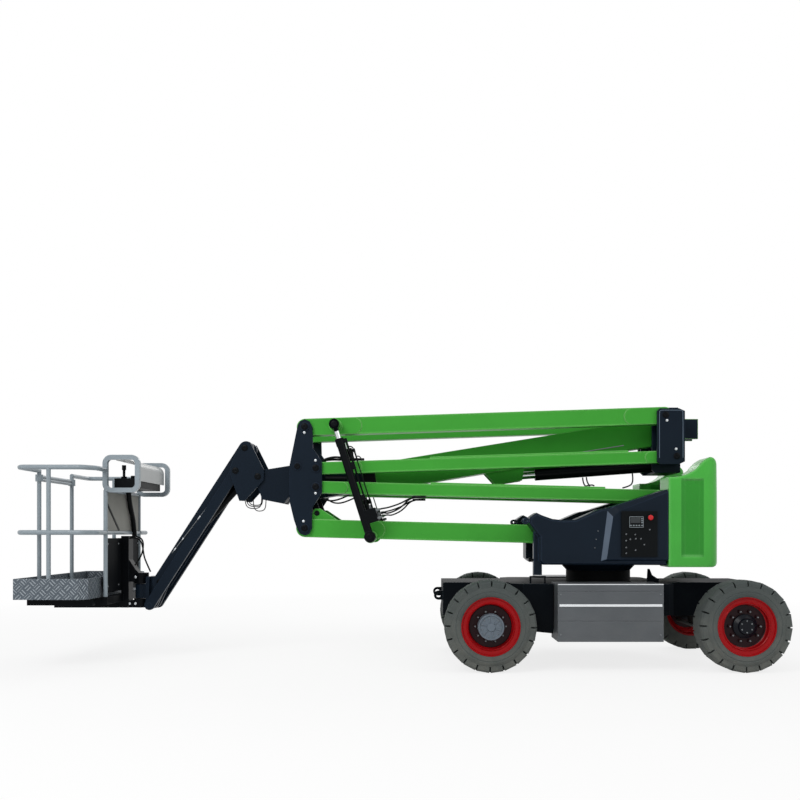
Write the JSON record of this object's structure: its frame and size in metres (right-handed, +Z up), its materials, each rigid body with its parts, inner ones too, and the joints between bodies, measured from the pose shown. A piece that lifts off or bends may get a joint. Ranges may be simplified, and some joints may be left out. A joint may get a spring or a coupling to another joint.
{
  "type": "articulating boom lift",
  "caption": "Self-propelled articulating boom lift: wheeled chassis, slewing turntable with counterweight, folding riser, telescoping boom, jib and railed platform.",
  "frame": {"origin": "on the floor, on the centre line, at the middle of the overall length", "axes": "+X from the platform to the counterweight end, +Z up, near side at -Y"},
  "size_m": [6.006, 1.76, 2.121],
  "materials": {
    "green_paint": "gloss enamel",
    "counterweight_paint": "gloss enamel over a smooth casting",
    "slate_paint": "satin enamel",
    "black_paint": "satin enamel",
    "cover_plastic": "satin moulded cover",
    "rail_paint": "satin enamel on tube",
    "toe_plate": "chequer plate",
    "rim_paint": "gloss enamel",
    "tyre_rubber": "grey-black rubber",
    "battery_case": "brushed sheet",
    "chrome_rod": "hard chrome",
    "console_plastic": "moulded shell",
    "axle_iron": "painted casting",
    "panel_sheet": "satin enamel sheet, pale above and black below"
  },
  "bodies": {
    "chassis": {"chassis_frame": "slate_paint", "slewing_ring": "black_paint", "drive_axle": "axle_iron", "steer_axle": "axle_iron", "battery_boxes": "battery_case"},
    "wheel_drive_near": {"tyre_drive_near": "tyre_rubber", "rim_drive_near": "rim_paint"},
    "wheel_drive_far": {"tyre_drive_far": "tyre_rubber", "rim_drive_far": "rim_paint"},
    "wheel_steer_near": {"tyre_steer_near": "tyre_rubber", "rim_steer_near": "rim_paint"},
    "wheel_steer_far": {"tyre_steer_far": "tyre_rubber", "rim_steer_far": "rim_paint"},
    "knuckle_near": {"steer_knuckle_near": "axle_iron"},
    "knuckle_far": {"steer_knuckle_far": "axle_iron"},
    "tie_rod": {"tie_rod": "black_paint"},
    "turntable": {"turntable_deck": "slate_paint", "side_cover_near": "cover_plastic", "side_cover_far": "cover_plastic", "counterweight": "counterweight_paint", "ground_controls": "black_paint"},
    "lower_arm": {"lower_arm": "green_paint"},
    "lower_link": {"lower_link": "green_paint"},
    "mid_knuckle": {"mid_knuckle": "slate_paint"},
    "upper_arm": {"upper_arm": "green_paint"},
    "upper_link": {"upper_link": "green_paint"},
    "upper_knuckle": {"upper_knuckle": "slate_paint"},
    "timing_links": {"timing_links": "black_paint"},
    "riser_barrels": {"riser_barrels": "black_paint"},
    "riser_rods": {"riser_rods": "chrome_rod"},
    "main_boom": {"main_boom": "green_paint"},
    "lift_barrel": {"lift_barrel": "black_paint"},
    "lift_rod": {"lift_rod": "chrome_rod"},
    "inner_boom": {"inner_boom": "slate_paint"},
    "knee_bracket": {"knee_bracket": "slate_paint"},
    "jib_arm": {"jib_arm": "slate_paint"},
    "jib_link": {"jib_link": "slate_paint"},
    "jib_barrel": {"jib_barrel": "black_paint"},
    "jib_rod": {"jib_rod": "chrome_rod"},
    "platform_bracket": {"platform_bracket": "slate_paint"},
    "platform": {"platform_mount": "black_paint", "platform_floor": "toe_plate", "platform_rails": "rail_paint", "console_loops": "rail_paint", "platform_console": "black_paint", "console_cover": "console_plastic", "rear_panels": "panel_sheet"},
    "gate_bar": {"gate_bar": "rail_paint"}
  },
  "joints": [
    {"name": "wheel_drive_near_spin", "type": "hinge", "parent": "chassis", "child": "wheel_drive_near", "pos_m": [0.685, -0.73, 0.355], "axis": [0, 1, 0], "continuous": true},
    {"name": "wheel_drive_far_spin", "type": "hinge", "parent": "chassis", "child": "wheel_drive_far", "pos_m": [0.685, 0.73, 0.355], "axis": [0, 1, 0], "continuous": true},
    {"name": "wheel_steer_near_spin", "type": "hinge", "parent": "knuckle_near", "child": "wheel_steer_near", "pos_m": [2.645, -0.73, 0.355], "axis": [0, 1, 0], "continuous": true},
    {"name": "wheel_steer_far_spin", "type": "hinge", "parent": "knuckle_far", "child": "wheel_steer_far", "pos_m": [2.645, 0.73, 0.355], "axis": [0, 1, 0], "continuous": true},
    {"name": "steer", "type": "hinge", "parent": "chassis", "child": "knuckle_near", "pos_m": [2.645, -0.56, 0.355], "axis": [0, 0, 1], "range_deg": [-35, 35]},
    {"name": "steer_far", "type": "hinge", "parent": "chassis", "child": "knuckle_far", "pos_m": [2.645, 0.56, 0.355], "axis": [0, 0, 1], "range_deg": [-35.5, 35.5]},
    {"name": "tie_rod_slide", "type": "slide", "parent": "chassis", "child": "tie_rod", "axis": [0, 1, 0], "range_m": [-0.1, 0.1]},
    {"name": "swing", "type": "hinge", "parent": "chassis", "child": "turntable", "pos_m": [1.665, 0, 0.76], "axis": [0, 0, 1], "range_deg": [-177.5, 177.5]},
    {"name": "riser_lift", "type": "hinge", "parent": "turntable", "child": "lower_arm", "pos_m": [2.156, 0, 1.0375], "axis": [0, 1, 0], "range_deg": [0, 65]},
    {"name": "lower_link_pivot", "type": "hinge", "parent": "turntable", "child": "lower_link", "pos_m": [2.247, 0, 1.3755], "axis": [0, 1, 0], "range_deg": [-0.5, 65.5]},
    {"name": "mid_knuckle_pivot", "type": "hinge", "parent": "lower_arm", "child": "mid_knuckle", "pos_m": [-0.803, 0, 1.115], "axis": [0, 1, 0], "range_deg": [-65.5, 0.5]},
    {"name": "upper_arm_pivot", "type": "hinge", "parent": "mid_knuckle", "child": "upper_arm", "pos_m": [-0.803, 0, 1.945], "axis": [0, 1, 0], "range_deg": [-65.5, 0.5]},
    {"name": "upper_link_pivot", "type": "hinge", "parent": "mid_knuckle", "child": "upper_link", "pos_m": [-0.712, 0, 1.607], "axis": [0, 1, 0], "range_deg": [-65.5, 0.5]},
    {"name": "upper_knuckle_pivot", "type": "hinge", "parent": "upper_arm", "child": "upper_knuckle", "pos_m": [2.155, 0, 2.043], "axis": [0, 1, 0], "range_deg": [-0.5, 65.5]},
    {"name": "timing_link_pivot", "type": "hinge", "parent": "lower_arm", "child": "timing_links", "pos_m": [-0.708, 0, 1.238], "axis": [0, 1, 0], "range_deg": [-65.5, 0.5]},
    {"name": "riser_barrel_pivot", "type": "hinge", "parent": "lower_arm", "child": "riser_barrels", "pos_m": [-0.262, 0, 1.042], "axis": [0, 1, 0], "range_deg": [-65, 0.5]},
    {"name": "riser_rod_slide", "type": "slide", "parent": "riser_barrels", "child": "riser_rods", "axis": [-0.3014, 0, 0.9535], "range_m": [-0.001, 0.66]},
    {"name": "main_lift", "type": "hinge", "parent": "upper_knuckle", "child": "main_boom", "pos_m": [2.25, 0, 1.948], "axis": [0, 1, 0], "range_deg": [0, 79]},
    {"name": "lift_barrel_pivot", "type": "hinge", "parent": "upper_knuckle", "child": "lift_barrel", "pos_m": [2.18, 0, 1.649], "axis": [0, 1, 0], "range_deg": [-0.5, 79.5]},
    {"name": "lift_rod_slide", "type": "slide", "parent": "lift_barrel", "child": "lift_rod", "axis": [-0.9973, 0, -0.0732], "range_m": [-0.001, 0.4]},
    {"name": "telescope", "type": "slide", "parent": "main_boom", "child": "inner_boom", "axis": [-0.9872, 0, -0.1592], "range_m": [0, 1.5]},
    {"name": "knee_level", "type": "hinge", "parent": "inner_boom", "child": "knee_bracket", "pos_m": [-1.22, 0, 1.5485], "axis": [0, 1, 0], "range_deg": [-79.5, 0.5]},
    {"name": "jib_lift", "type": "hinge", "parent": "knee_bracket", "child": "jib_arm", "pos_m": [-1.3295, 0, 1.789], "axis": [0, 1, 0], "range_deg": [0, 125]},
    {"name": "jib_link_pivot", "type": "hinge", "parent": "knee_bracket", "child": "jib_link", "pos_m": [-1.4068, 0, 1.598], "axis": [0, 1, 0], "range_deg": [-0.5, 125.5]},
    {"name": "platform_level", "type": "hinge", "parent": "jib_arm", "child": "platform_bracket", "pos_m": [-2.0584, 0, 0.6585], "axis": [0, 1, 0], "range_deg": [-125.5, 0.5]},
    {"name": "jib_barrel_pivot", "type": "hinge", "parent": "jib_arm", "child": "jib_barrel", "pos_m": [-1.8882, 0, 0.95939], "axis": [0, 1, 0], "range_deg": [-30, 30]},
    {"name": "jib_rod_slide", "type": "slide", "parent": "jib_barrel", "child": "jib_rod", "axis": [0.6812, 0, 0.7321], "range_m": [-0.001, 0.4]},
    {"name": "platform_turn", "type": "hinge", "parent": "platform_bracket", "child": "platform", "pos_m": [-2.245, 0, 0.58], "axis": [0, 0, 1], "range_deg": [-80, 80]},
    {"name": "gate_slide", "type": "slide", "parent": "platform", "child": "gate_bar", "axis": [0, 0, 1], "range_m": [-0.38, 0]}
  ],
  "couplings": [
    {"joint": "steer_far", "follows": "steer", "ratio": 1},
    {"joint": "tie_rod_slide", "follows": "steer", "m_per_rad": -0.135},
    {"joint": "lower_link_pivot", "follows": "riser_lift", "ratio": 1},
    {"joint": "mid_knuckle_pivot", "follows": "riser_lift", "ratio": -1},
    {"joint": "upper_arm_pivot", "follows": "riser_lift", "ratio": -1},
    {"joint": "upper_link_pivot", "follows": "riser_lift", "ratio": -1},
    {"joint": "upper_knuckle_pivot", "follows": "riser_lift", "ratio": 1},
    {"joint": "timing_link_pivot", "follows": "riser_lift", "ratio": -0.95312},
    {"joint": "riser_barrel_pivot", "follows": "riser_lift", "ratio": -0.76503},
    {"joint": "riser_rod_slide", "follows": "riser_lift", "m_per_rad": 0.55502},
    {"joint": "lift_barrel_pivot", "follows": "main_lift", "ratio": 0.93589},
    {"joint": "lift_rod_slide", "follows": "main_lift", "m_per_rad": 0.26718},
    {"joint": "knee_level", "follows": "main_lift", "ratio": -1},
    {"joint": "jib_link_pivot", "follows": "jib_lift", "ratio": 1},
    {"joint": "platform_level", "follows": "jib_lift", "ratio": -1},
    {"joint": "jib_barrel_pivot", "follows": "jib_lift", "ratio": -0.045407},
    {"joint": "jib_rod_slide", "follows": "jib_lift", "m_per_rad": 0.17232}
  ]
}
